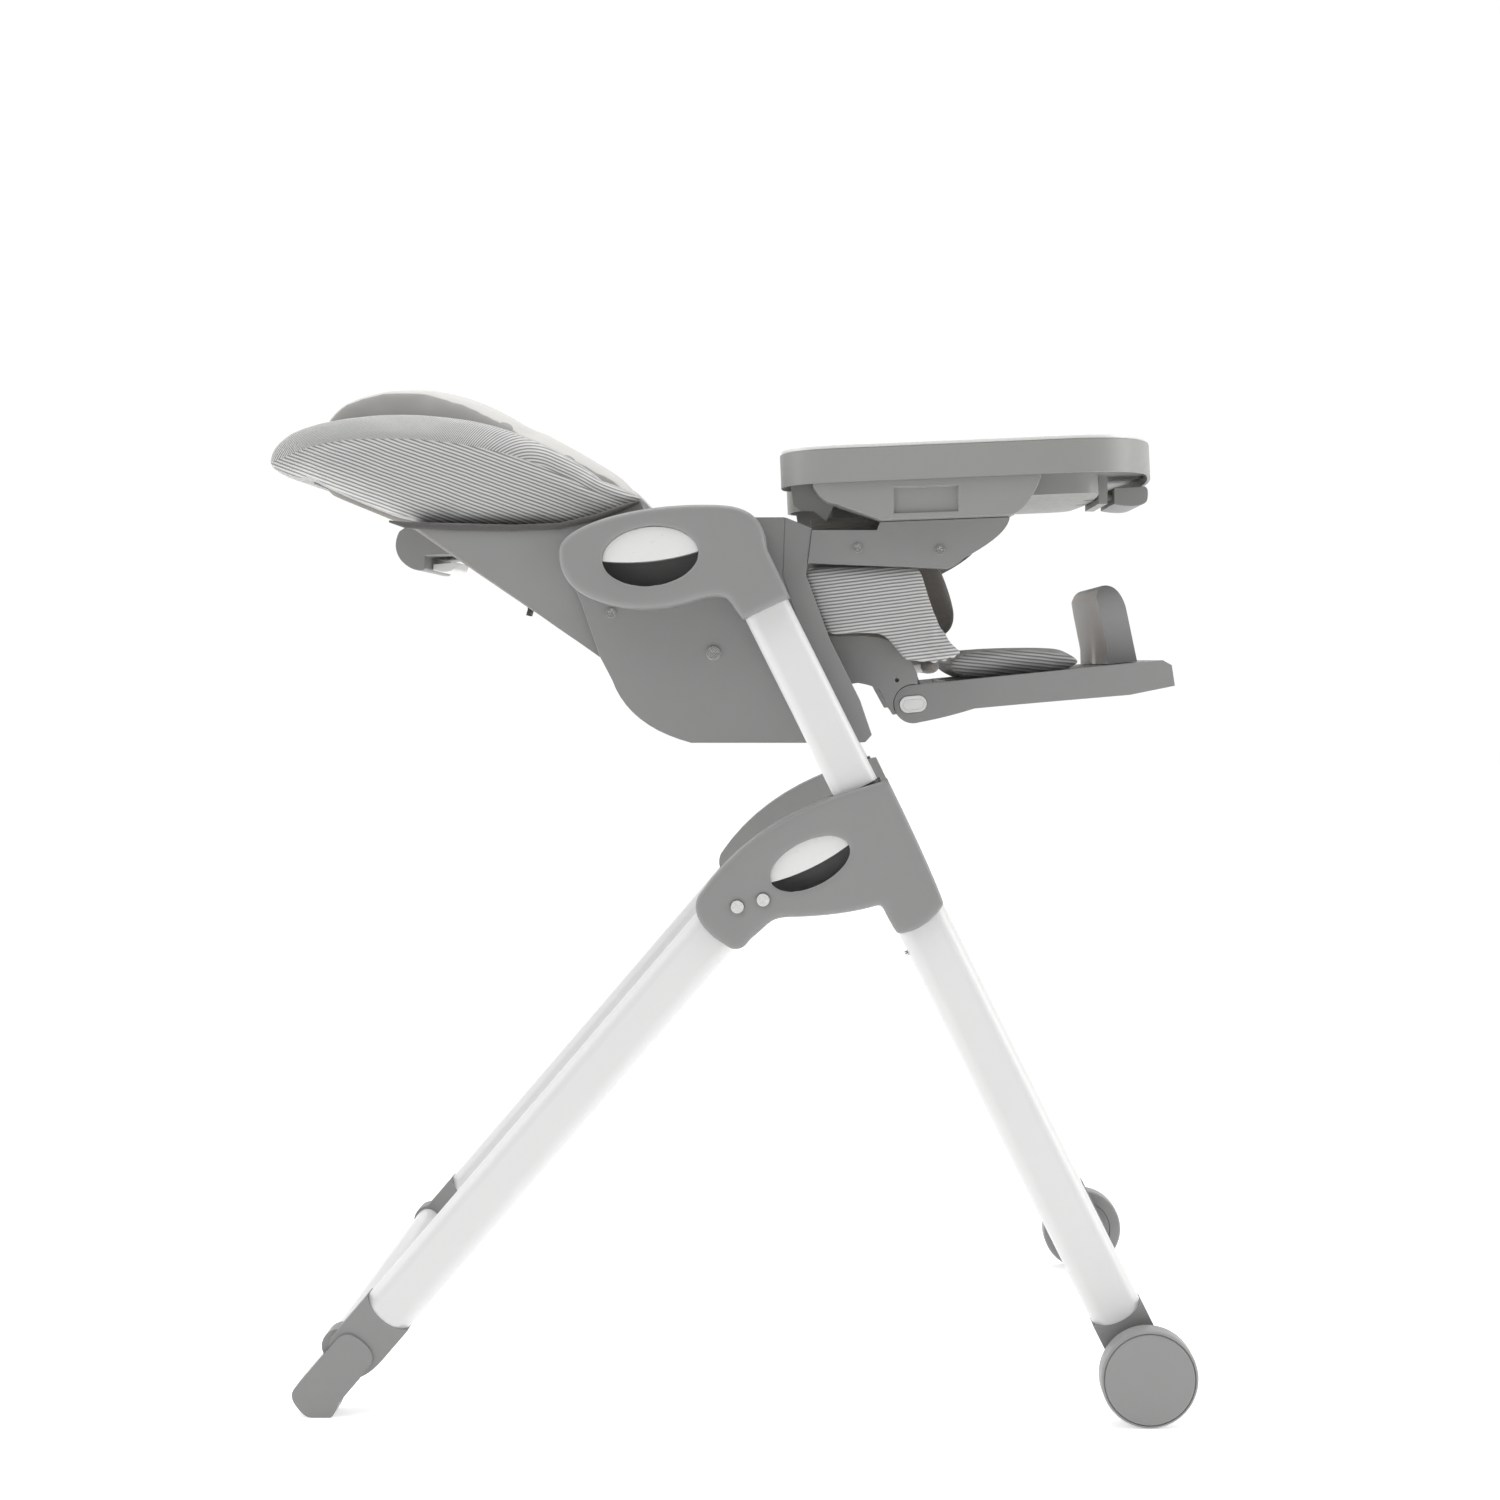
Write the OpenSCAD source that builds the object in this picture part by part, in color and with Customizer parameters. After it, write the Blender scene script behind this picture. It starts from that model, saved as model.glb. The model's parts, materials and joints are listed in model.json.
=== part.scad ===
// High chair: folding A-frame on two front wheels, seat that slides down its front legs,
// reclining back, swinging calf rest with a sliding footrest, and a sliding tray.
// +X is the way the child faces, +Y is the child's left and +Z is up. The floor is Z = 0.

/* [Front legs] */
// Tilt of the front legs from upright, in degrees
front_tilt = 26.5; // [26:0.5:27]
// Distance of each leg's middle from the centre plane
leg_y = 240; // [239.5:0.5:240.5]
// Where the wheel axle lies in front of the origin
axle_x = 391.7; // [388:0.1:395]
// Width of the lower, outer tube
lower_w = 49; // [48:0.5:49]
// Thickness of the lower, outer tube
lower_t = 27; // [26:0.5:27]
// Width of the upper tube, which slides in the lower one
upper_w = 43.8; // [42:0.2:43.8]
// Thickness of the upper tube
upper_t = 21.8; // [20:0.2:21.8]
// Wall of every steel tube
tube_wall = 1.5; // [1:0.1:1.6]
// Distance up the leg from the axle to the top of the lower tube
lower_top = 590; // [585:1:592]

/* [Wheels] */
// Radius of a front wheel
wheel_r = 44.5; // [42:0.5:46]
// Width of a front wheel
wheel_w = 24; // [20:1:26]

/* [Rear legs] */
// Tilt of the rear legs from upright, in degrees
rear_tilt = 40.7; // [40:0.1:41]
// Fold pivot in front of the origin
fold_x = 15.3; // [15:0.1:16]
// Height of the fold pivot
fold_z = 472.4; // [472:0.1:473]
// Width of the rear tube
rear_w = 48.4; // [47:0.2:48.4]
// Radius of the tube that joins the rear legs
crossbar_r = 12.5; // [10:0.5:13]

/* [Seat] */
// Outer face of the seat's side shells, from the centre plane
side_y = 214; // [213.5:0.1:214]
// Thickness of a side shell
side_t = 6; // [4:0.5:6]
// Recline pivot in front of the origin
back_x = -9; // [-10:0.5:-8]
// Height of the recline pivot
back_z = 706.1; // [705:0.1:707]
// Slope of the back at rest, in degrees from level
back_slope = 35.2; // [35:0.1:35.5]

/* [Calf rest] */
// Pivot of the calf rest in front of the origin
calf_x = 180.7; // [180:0.1:181]
// Height of the calf rest's pivot
calf_z = 657.1; // [656.5:0.1:657.5]
// Slope of the calf rest at rest, in degrees from level
calf_slope = 5.6; // [5:0.1:6]
// Length of the calf rest from its pivot
calf_len = 251; // [248:1:254]

/* [Tray] */
// Rear edge of the tray in front of the origin
tray_x = 54.3; // [53:0.1:56]
// Height of the tray's rim at its rear edge
tray_z = 862.3; // [861:0.1:864]
// Slope of the tray, in degrees
tray_slope = 2.4; // [2:0.1:2.6]
// Half of the tray's width
tray_half = 245; // [243:1:246]
// Slope of the armrests that the tray slides on, in degrees
arm_slope = 2.2; // [2:0.1:2.4]

/* [Hidden] */
$fn = 64;
plastic = "#9a9b9a";
white = "#f3f3f1";
steel = "#c8c8c6";
fabric = "#b9b9b8";
lining = "#8d8680";
dark = "#6d6d6c";

wall = 3;                  // wall of a moulded casing
gap = 0.4;                 // running clearance of a moving piece
hinge_in = 222;            // inner and outer faces of the hinge housings
hinge_mid = 241;
hinge_out = 262;
top_mid = 240;             // split and outer face of the top housings
top_out = 266;
plate = 4;                 // face plate of a casing
foot_y = 14.2;             // half thickness of the end pieces on the legs
leg_pin_r = 4;
lock_pin = [39, 478.8];    // second rivet of the fold hinge, [x, z]
shell_screw = [-105.3, 743.7];
arm_screws = [[127, 805], [204, 803]];
cheek_in = 197;            // inner and outer faces of the back shell's cheeks
cheek_out = 203;
soft_half = 206;           // outer face of the back's side cushions
rail_in = 158;             // rails of the calf rest
rail_out = 170;
tray_rise = tan(arm_slope);

// Point t of the way along the curve from a to b that is drawn towards c
function bend(a, c, b, t) = (1 - t) * (1 - t) * a + 2 * t * (1 - t) * c + t * t * b;
function stretch(from, to, n) =
    len(from) == 1 ? from : [for (k = [0 : n - 1]) bend(from[0], from[1], to, k / n)];
// Closed outline through corners. [p] starts a straight stretch, [p, c] one drawn towards c
function outline(path, n = 10) =
    [for (i = [0 : len(path) - 1]) each stretch(path[i], path[(i + 1) % len(path)][0], n)];
// Points of a tilted ellipse
function ellipse(at, a, b, tilt, n = 40) = [
    for (k = [0 : n - 1]) let (x = a * cos(360 * k / n), y = b * sin(360 * k / n))
        at + [x * cos(tilt) - y * sin(tilt), x * sin(tilt) + y * cos(tilt)]
];
// Point on the back: u up the back from its pivot, n out of it towards the child
function on_back(u, n) = [
    back_x - u * cos(back_slope) + n * sin(back_slope),
    back_z + u * sin(back_slope) + n * cos(back_slope)
];

// Extrudes an outline in the X-Z plane from y0 to y1
module slab(y0, y1) {
    translate([0, y1, 0]) rotate([90, 0, 0]) linear_extrude(y1 - y0) children();
}
module rod(at, r, y0, y1) {
    translate([at[0], y1, at[1]]) rotate([90, 0, 0]) cylinder(r = r, h = y1 - y0);
}
module sided(side) {
    if (side > 0) children();
    else mirror([0, 1, 0]) children();
}
module both() {
    children();
    mirror([0, 1, 0]) children();
}
// Screw head with a cross recess, standing on the face at y
module screw_head(at, r, y) {
    difference() {
        rod(at, r, y, y + 1.9);
        for (turn = [0, 90]) translate([at[0], y + 1.6, at[1]]) rotate([0, turn + 20, 0])
            cube([r * 1.3, 1.2, r * 0.3], center = true);
    }
}

// Frames of the legs: local Z runs up the leg, local X across its face towards the front
module front_leg_frame() {
    translate([axle_x, 0, wheel_r]) rotate([0, -front_tilt, 0]) children();
}
module rear_leg_frame() {
    translate([fold_x, 0, fold_z]) rotate([0, rear_tilt, 0]) children();
}
module calf_frame() {
    translate([calf_x, 0, calf_z]) rotate([0, -calf_slope, 0]) children();
}
module tray_frame() {
    translate([tray_x, 0, tray_z]) rotate([0, -tray_slope, 0]) children();
}

// Flat-oval section of the leg tubes
module oval(w, t) {
    square([w - t, t], center = true);
    for (end = [-1, 1]) translate([end * (w - t) / 2, 0]) circle(d = t);
}
module oval_bar(w, t, z0, z1) {
    translate([0, leg_y, z0]) linear_extrude(z1 - z0) oval(w, t);
}
module oval_tube(w, t, wall, z0, z1) {
    difference() {
        oval_bar(w, t, z0, z1);
        oval_bar(w - 2 * wall, t - 2 * wall, z0 - 1, z1 + 1);
    }
}

// ---- Front frame ----
tube_low = 30;
upper_low = 430;
upper_high = 850;
bush_h = 8;

module lower_tube(side) {
    color(white) sided(side) front_leg_frame()
        oval_tube(lower_w, lower_t, tube_wall, tube_low, lower_top);
}

hinge_path = [
    [[154, 589], [33, 561]], [[-22, 480], [-30, 462]], [[-5, 442]], [[10, 432], [20, 430]],
    [[26, 440]], [[44, 456], [50, 462]], [[62, 462], [115, 463]], [[148, 474], [153, 462]],
    [[163, 446], [190, 449]], [[206, 474], [192, 512]]
];
fold_oval = [82.2, 511.7];
fold_oval_a = 38.6;
fold_oval_b = 19.5;
fold_oval_tilt = 26;
fold_angle = 67;

module rear_leg_sweep() {
    for (k = [0 : 6]) translate([fold_x, fold_z]) rotate(-rear_tilt + k * fold_angle / 6)
        translate([-rear_w / 2 - 0.6, -80]) square([rear_w + 1.2, 80]);
}
module hinge_half(y0, y1, c0, c1) {
    difference() {
        slab(y0, y1) polygon(outline(hinge_path));
        slab(c0, c1) offset(delta = -wall) polygon(outline(hinge_path));
        front_leg_frame() oval_bar(lower_w + 0.2, lower_t + 0.2, 400, 700);
        slab(leg_y - lower_t / 2 - 0.6, leg_y + lower_t / 2 + 0.6) rear_leg_sweep();
        for (at = [[fold_x, fold_z], lock_pin]) rod(at, leg_pin_r + 0.05, 200, 280);
    }
}
module hinge_housing_outer(side) {
    color(plastic) sided(side) difference() {
        hinge_half(hinge_mid, hinge_out, hinge_mid - 1, hinge_out - plate);
        slab(hinge_mid, hinge_out + 1)
            polygon(ellipse(fold_oval, fold_oval_a, fold_oval_b, fold_oval_tilt));
    }
}
module hinge_housing_inners() {
    color(plastic) both() hinge_half(hinge_in, hinge_mid, hinge_in + plate, hinge_mid + 1);
}

// Guide bushes between the lower and upper tubes, each with a flange on the tube's end
module tube_bushes() {
    color(dark) both() front_leg_frame() difference() {
        union() {
            oval_bar(lower_w - 2 * tube_wall - 0.1, lower_t - 2 * tube_wall - 0.1,
                lower_top - 30, lower_top + 1);
            oval_bar(lower_w, lower_t, lower_top, lower_top + bush_h);
        }
        oval_bar(upper_w + 2 * gap, upper_t + 2 * gap, lower_top - 31, lower_top + bush_h + 1);
    }
}

bracket_half = 25.3;
bracket_top = 57;
axle_r = 4.5;
module wheel_brackets() {
    path = [
        [[-bracket_half, bracket_top], [0, 42]], [[bracket_half, bracket_top]],
        [[bracket_half, 10], [bracket_half, -22]], [[0, -22], [-bracket_half, -22]],
        [[-bracket_half, 10]]
    ];
    color(plastic) both() front_leg_frame() difference() {
        union() {
            slab(leg_y - foot_y, leg_y + foot_y) polygon(outline(path));
            rod([0, 0], 13, leg_y, wheel_in - gap);
        }
        oval_bar(lower_w + 0.2, lower_t + 0.2, tube_low, 100);
        rod([0, 0], axle_r + 0.05, leg_y - 30, wheel_in + 1);
    }
}
wheel_in = leg_y + 24;
wheel_out = wheel_in + wheel_w;
module wheel_axles() {
    color(steel) both() {
        rod([axle_x, wheel_r], axle_r, leg_y - foot_y, wheel_out - 4);
        rod([axle_x, wheel_r], 8, leg_y - foot_y - 3, leg_y - foot_y);
    }
}
module front_crossbar() {
    span = leg_y - lower_t / 2;
    color(white) front_leg_frame() difference() {
        rod([0, 80], 9, -span, span);
        rod([0, 80], 9 - tube_wall, -span - 1, span + 1);
    }
}
// Rivets of the fold hinges, and the stop pin on each lower tube's rear edge
module leg_rivets() {
    color(steel) both() {
        for (at = [[fold_x, fold_z], lock_pin]) {
            rod(at, leg_pin_r, hinge_in, hinge_out);
            rod(at, 6, hinge_out, hinge_out + 2.4);
            rod(at, 6, hinge_in - 2.4, hinge_in);
        }
        front_leg_frame() translate([-lower_w / 2 - 3, leg_y, 440]) rotate([0, 90, 0])
            cylinder(r = 2.6, h = 3);
    }
}

// ---- Wheels ----
face_r = 41.6;
hub_r = 32;
module wheel_tyre(side) {
    section = [
        [hub_r, 0], [wheel_r - 3, 0], [wheel_r - 0.9, 0.9], [wheel_r, 3], [wheel_r, wheel_w - 3],
        [wheel_r - 0.9, wheel_w - 0.9], [wheel_r - 2, wheel_w - 0.4], [face_r + 0.3, wheel_w - 0.4],
        [face_r + 0.3, wheel_w - 3], [hub_r, wheel_w - 3]
    ];
    color(plastic) sided(side) translate([axle_x, wheel_in, wheel_r]) rotate([-90, 0, 0])
        rotate_extrude() polygon(section);
}
module wheel_disc(side) {
    section = [
        [axle_r + 0.35, 0.6], [hub_r - 0.05, 0.6], [hub_r - 0.05, wheel_w - 3],
        [face_r, wheel_w - 3], [face_r, wheel_w - 0.8], [face_r - 1.2, wheel_w],
        [0, wheel_w], [0, wheel_w - 3.4], [axle_r + 0.35, wheel_w - 3.4]
    ];
    color(plastic) sided(side) translate([axle_x, wheel_in, wheel_r]) rotate([-90, 0, 0])
        rotate_extrude() polygon(section);
}

// ---- Rear legs ----
rear_low = 545;
bar_at = [-14.5, -549.9];      // crossbar in the rear legs' frame
module rear_tube(side) {
    color(white) sided(side) rear_leg_frame()
        oval_tube(rear_w, lower_t, tube_wall, -rear_low, -22);
}
module rear_knuckles() {
    r = 19;
    half = rear_w / 2;
    inner_w = rear_w - 2 * tube_wall - 0.2;
    color(plastic) both() rear_leg_frame() difference() {
        union() {
            slab(leg_y - 12, leg_y + 12) polygon([[-r, 0], [r, 0], [half - 2, -22], [-half + 2, -22]]);
            rod([0, 0], r, leg_y - 12, leg_y + 12);
            oval_bar(inner_w, lower_t - 2 * tube_wall - 0.2, -70, -21);
        }
        rod([0, 0], leg_pin_r + 0.35, leg_y - 20, leg_y + 20);
    }
}
module rear_caps() {
    h = 24.9;
    path = [
        [[-h, -497], [0, -512]], [[h, -497]], [[h, -532], [h, -548]], [[19.5, -558]],
        [[-19.5, -558]], [[-h, -548]]
    ];
    color(plastic) both() rear_leg_frame() difference() {
        union() {
            slab(leg_y - foot_y, leg_y + foot_y) polygon(outline(path));
            rod(bar_at, 15.5, leg_y - foot_y, leg_y + foot_y - 3);
        }
        oval_bar(rear_w + 0.2, lower_t + 0.2, -rear_low, -400);
    }
}
// Feet with a flat sole on the floor and a raised outer face over the cap
module rear_feet() {
    sole = [
        [[-363.9, 62.2]], [[-394, 27], [-400, 19]], [[-390, 8], [-384, 0]], [[-377, 0]],
        [[-361, 0], [-357, 1]], [[-353, 13.5]], [[-333.5, 36.2]]
    ];
    face = leg_y + foot_y;
    color(plastic) both() {
        difference() {
            slab(leg_y - 13, face + 2.2) polygon(outline(sole));
            rear_leg_frame() rod(bar_at, 16, leg_y - foot_y - 1, face - 2.8);
        }
        rear_leg_frame() slab(face, face + 2.2)
            polygon(outline([[[-19.5, -559]], [[19.5, -559]], [[19.5, -545], [19.5, -531]],
                [[0, -531], [-19.5, -531]], [[-19.5, -545]]]));
    }
}
module rear_crossbar() {
    span = leg_y - foot_y;
    color(white) rear_leg_frame() difference() {
        rod(bar_at, crossbar_r, -span, span);
        rod(bar_at, crossbar_r - tube_wall, -span - 1, span + 1);
    }
}

// ---- Squeeze levers in the housings ----
// Outline of a lever that fills an oval opening down to its lower edge
function lever_points(at, a, b, tilt, dip) = [
    for (p = concat([for (k = [0 : 20]) [a * cos(9 * k), b * sin(9 * k)]],
            [for (k = [1 : 9]) bend([-a, 0], [0, -dip], [a, 0], k / 10)]))
        at + [p[0] * cos(tilt) - p[1] * sin(tilt), p[0] * sin(tilt) + p[1] * cos(tilt)]
];
module fold_lever(side) {
    color(white) sided(side) slab(hinge_mid + 1, hinge_out - plate - 0.5)
        polygon(lever_points(fold_oval, fold_oval_a + 2, fold_oval_b + 2, fold_oval_tilt, 8));
}
top_oval = [-64.8, 795];
top_oval_a = 43;
top_oval_b = 25.5;
top_oval_tilt = 6;
module height_lever(side) {
    color(white) sided(side) slab(top_mid + 2, top_out - plate - 0.5)
        polygon(lever_points(top_oval, top_oval_a + 2, top_oval_b + 2, top_oval_tilt, 9));
}

// ---- Seat frame ----
module upper_tube(side) {
    color(white) sided(side) front_leg_frame()
        oval_tube(upper_w, upper_t, tube_wall, upper_low, upper_high);
}
// End plugs of the upper tubes, which hold the height lock's pins
module tube_lock_plugs() {
    inner_w = upper_w - 2 * tube_wall - 0.2;
    inner_t = upper_t - 2 * tube_wall - 0.2;
    color(dark) both() front_leg_frame() {
        oval_bar(inner_w, inner_t, upper_low - 1, upper_low + 22);
        oval_bar(upper_w - 0.8, upper_t - 0.8, upper_low - 6, upper_low);
    }
}
top_path = [
    [[-149.5, 800], [-149, 816]], [[-110, 829.5], [-60, 845]], [[0, 842.5], [41, 841]],
    [[42, 803]], [[64, 757]], [[20, 736]], [[7, 755], [2, 761]], [[-19, 756], [-70, 738]],
    [[-112, 753], [-150, 765]]
];
module top_half(y0, y1, c0, c1) {
    difference() {
        slab(y0, y1) polygon(outline(top_path));
        slab(c0, c1) offset(delta = -wall) polygon(outline(top_path));
        front_leg_frame() oval_bar(upper_w + 0.1, upper_t + 0.1, 700, upper_high + 0.1);
    }
}
module top_housing_outer(side) {
    color(plastic) sided(side) difference() {
        top_half(top_mid, top_out, top_mid - 1, top_out - plate);
        slab(top_mid, top_out + 1)
            polygon(ellipse(top_oval, top_oval_a, top_oval_b, top_oval_tilt));
    }
}
module top_housing_inners() {
    color(plastic) both() top_half(side_y, top_mid, side_y + plate, top_mid + 1);
}

// Front edge of the side shells, where the trims begin
seam = [[58.3, 834], [56, 779], [78, 712], [104, 660], [117.7, 621.4]];
side_path = [
    [seam[0]], [[-50, 834], [-135, 830]], [[-147.8, 784]], [[-134.7, 756]], [[-115.8, 702.3]],
    [[-104.5, 680.7], [-89, 637]], [[-30, 621.4]], [seam[4]], [seam[3]], [seam[2]], [seam[1]]
];
module seat_side(side) {
    color(plastic) sided(side) difference() {
        slab(side_y - side_t, side_y) polygon(outline(side_path));
        rod([back_x, back_z], 5.05, side_y - 10, side_y + 1);
        rod(shell_screw, 2.6, side_y - 10, side_y + 1);
    }
}
trim_in = 195;
trim_front = [[140.2, 628.9], [129, 661.8], [100.7, 718.3], [78.1, 779.5], [80, 793.6], [83.8, 823.8]];
module front_trims() {
    color(plastic) both() slab(trim_in, side_y)
        polygon(concat([for (p = seam) p + [0.05, 0]], [[134, 622]], trim_front));
}
// Hollow seat pan: a closed box between the side shells, and a tongue in front of it
module seat_pan() {
    half = side_y - side_t;
    path = [
        [[-78, 659.7]], [[92, 679.3]], [[103.2, 660]], [[116.8, 621.6]],
        [[-30, 621.6], [-88, 637]], [[-103.8, 680.5]], [[-98.5, 681]], [[-88.5, 658.8]]
    ];
    tongue = [
        [91.5, 678.3], [156, 686.7], [162, 690], [163.5, 685], [157, 681.5], [94.7, 672.2]
    ];
    color(plastic) difference() {
        union() {
            difference() {
                slab(-half, half) polygon(outline(path));
                slab(-half + wall, half - wall) offset(delta = -wall) polygon(outline(path));
            }
            slab(-140, 140) polygon(tongue);
        }
        for (x = [-20 : 30 : 70]) translate([x, 0, 622]) cube([10, 240, 12], center = true);
    }
}
// Armrests that the tray slides on, each with a tongue behind the trim
arm_rear = [83.7, 821.8];
arm_top_x = 147.8;
arm_top_z = 829.3;
arm_front_z = arm_top_z + (270 - arm_top_x) * tray_rise;
module armrests() {
    path = [
        [[80.2, 793.6]], [[79.8, 790.8]], [[205, 786], [216, 784]], [[228, 796.4], [268, 817]],
        [[270, arm_front_z]], [[arm_top_x, arm_top_z]], [[arm_top_x - 3, 821.8]], [arm_rear]
    ];
    color(plastic) both() difference() {
        union() {
            slab(190, 215) polygon(outline(path));
            slab(190, trim_in) polygon([[28, 797], [90, 797], [90, 818], [28, 818]]);
        }
        for (at = arm_screws) rod(at, 2.6, 206, 216);
    }
}
calf_hole = [165, 680.3];
module calf_brackets() {
    path = [
        [[96, 722.3]], [[146.5, 721.4], [175, 716]], [[188, 677]], [[193, 650]], [[161, 647]],
        [[148, 671], [135, 679]], [[104.5, 679]], [[96, 681]]
    ];
    calf = [calf_x, calf_z];
    color(plastic) both() {
        difference() {
            union() {
                slab(140, 174) polygon(outline(path));
                rod(calf, 15, 140, rail_in - 2.6);
            }
            difference() {
                rod(calf, 19.3, rail_in - 2.6, 180);
                rod(calf, leg_pin_r, rail_in - 3, rail_in + 3);
            }
            translate([calf_x, 0, calf_z]) slab(rail_in - 2.6, 180)
                polygon([[-4, -30], [36, -30], [36, 30], [4, 30], [4, 0], [-4, 0]]);
            rod(calf_hole, 2, 168, 180);
        }
        rod(calf, leg_pin_r, rail_in - 2.7, rail_in + 3);
    }
}
module seat_screws() {
    color(steel) both() {
        screw_head(shell_screw, 4.7, side_y);
        rod(shell_screw, 2.5, side_y - 5, side_y);
        for (at = arm_screws) {
            screw_head(at, 4.4, 215);
            rod(at, 2.5, 207, 215);
        }
    }
}
module back_pivot_pins() {
    at = [back_x, back_z];
    color(steel) both() {
        rod(at, 5, cheek_in, side_y);
        rod(at, 6.6, side_y, side_y + 2.6);
    }
}

// ---- Seat upholstery and harness ----
module seat_pad() {
    back_part = [
        [[-62, 662]], [[88, 679.6]], [[88, 706], [40, 703]], [[-40, 694], [-60, 692]], [[-66, 676]]
    ];
    front_part = [
        [[80, 678.6]], [[92, 680]], [[156, 687.3]], [[163, 693]], [[200, 697], [209, 700]],
        [[206, 709], [204, 716]], [[192, 716.5], [130, 713]], [[80, 705]]
    ];
    color(fabric) union() {
        slab(-174, 174) polygon(outline(back_part));
        slab(-139.6, 139.6) polygon(outline(front_part));
    }
}
module side_wing(side) {
    outer = [
        [[84, 785]], [[183.9, 785], [190, 762]], [[204.7, 728], [216, 714]], [[223.6, 707]],
        [[200, 697.6]], [[171.6, 697.6]], [[150, 721], [146, 723]], [[104, 723]]
    ];
    inner = [
        [[88, 836]], [[150, 836]], [[165, 820], [180, 800]], [[183, 780]], [[183, 727]], [[90, 727]]
    ];
    color(fabric) sided(side) union() {
        slab(176, 189.5) polygon(outline(outer));
        slab(189, 205) polygon(outline(outer));
        slab(176, 183) polygon(outline(inner));
    }
}
module crotch_post() {
    path = [
        [[180, 716.8]], [[198, 716.9], [214, 718]], [[226, 732], [230, 742]], [[228, 750]],
        [[215, 792], [213, 797]], [[204, 797], [190, 797]], [[188, 788]]
    ];
    color(lining) slab(-18, 18) polygon(outline(path));
}
strap_z = 705.4;
module lap_harness() {
    color(dark) {
        both() translate([22, 24, strap_z]) cube([25, 108, 2.5]);
        translate([59, -12.5, 716.5]) cube([118, 25, 2.5]);
    }
}
module buckle() {
    path = [[[12, 705.2]], [[58, 706]], [[58, 717], [56, 720]], [[50, 720]], [[16, 716], [12, 714]]];
    color(dark) slab(-23.8, 23.8) polygon(outline(path));
}

// ---- Backrest ----
panel_n = -65.5;               // outer face of the back shell's panel
panel_t = 4;
panel_top = 308;               // how far up the back the panel and cheeks reach
hem = [[-310, 831.5], [-155, 827], [-79, 851]];
module back_shell() {
    cheek = [
        [on_back(panel_top, panel_n)], [on_back(58, panel_n)], [[-62, 691], [-40, 690]],
        [[back_x - 3, back_z - 14]], [[back_x + 14, back_z + 4]], [[-8, 735], [-50, 780]],
        [hem[2] - [0, 0.5], [-110, 831.5]], [hem[1] - [0, 0.5]]
    ];
    // The panel's side strips lie a little inside its faces
    strip_low = panel_n + 0.4;
    strip_high = panel_n + panel_t - 0.4;
    strip = [
        on_back(61, strip_high), on_back(61, strip_low), on_back(panel_top - 3, strip_low),
        on_back(panel_top - 7, strip_high)
    ];
    panel = [
        on_back(60, panel_n + panel_t), on_back(60, panel_n), on_back(panel_top, panel_n),
        [-316, 837.2], [-399.5, 870.5], [-399.5, 876], [-304, 836.6],
        on_back(panel_top - 2, panel_n + panel_t)
    ];
    color(plastic) difference() {
        union() {
            both() {
                slab(cheek_in, cheek_out) polygon(outline(cheek));
                rod([back_x, back_z], 20, cheek_in, cheek_out);
                rod([back_x, back_z], 11, cheek_out - 1, side_y - side_t - gap);
                slab(149, cheek_in + 1) polygon(strip);
            }
            slab(-150, 150) polygon(panel);
        }
        both() rod([back_x, back_z], 5.35, cheek_in - 5, side_y);
    }
}
pad_low = panel_n + panel_t + 0.5;
pad_high = pad_low + 25;
module back_pad() {
    path = [
        [on_back(80, pad_low)], [on_back(80, pad_high)], [on_back(290, pad_high), [-310, 872]],
        [[-392, 900]], [[-398, 878], [-350, 858]], [on_back(314, pad_low)]
    ];
    color(fabric) slab(-150, 150) polygon(outline(path));
}
module back_bolster() {
    path = [
        [[-432, 884], [-430, 905]], [[-405, 918], [-370, 934]], [[-307, 935], [-225, 936]],
        [[-155, 894], [-125, 868]], [hem[2], [-110, 832]], [hem[1]], [hem[0]],
        [[-316, 837], [-350, 850]], [[-402, 872], [-425, 876]]
    ];
    head = [
        [[-436.2, 886], [-434, 906]], [[-403, 918]], [[-400, 904]], [[-401, 872.5], [-428, 876]]
    ];
    color(fabric) union() {
        both() slab(152, soft_half) polygon(outline(path));
        slab(-153, 153) polygon(outline(head));
    }
}
module support_cushion() {
    rise = pad_high + 1;
    roll = [
        [on_back(122, rise)], [[-86, 856]], [[-111, 881], [-200, 935]],
        [[-252, 955], [-310, 974]], [[-350, 962], [-396, 955]], [[-397, 908]],
        [on_back(292, rise + 2)]
    ];
    middle = [
        [on_back(120, rise)], [on_back(120, rise + 20)], [on_back(292, rise + 22), [-310, 900]],
        [[-385, 934]], [[-395, 908]], [on_back(292, rise + 2)]
    ];
    color(fabric) union() {
        both() slab(90, 148) polygon(outline(roll));
        slab(-91, 91) polygon(outline(middle));
    }
}
module recline_handle() {
    path = [
        [[-330, 828], [-338, 812]], [[-328, 799], [-318, 788]], [[-306, 789]], [[-304, 791]],
        [[-304, 804]], [[-277, 805]], [on_back(254, panel_n - 0.05)],
        [on_back(295, panel_n - 0.05)], [[-318, 836]]
    ];
    color(plastic) slab(-80, 80) polygon(outline(path));
}
module recline_lever() {
    path = [[[-302.5, 797]], [[-279, 799]], [[-281, 792], [-288, 786]], [[-302.5, 791]]];
    color(white) slab(-42, 42) polygon(outline(path));
}
// Harness straps down the middle of the liner, and the anchor tab under the shell
module shoulder_straps() {
    low = pad_high + 21.3;
    high = pad_high + 23.2;
    color(dark) {
        both() slab(34, 59) polygon([
            on_back(126, low), on_back(290, high), on_back(290, high + 2.5), on_back(126, low + 2.5)
        ]);
        slab(-14, 14) polygon([
            on_back(190, panel_n - 0.05), on_back(214, panel_n - 0.05), on_back(214, panel_n - 5),
            on_back(206, panel_n - 18), on_back(186, panel_n - 18), on_back(186, panel_n - 14)
        ]);
    }
}

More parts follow.
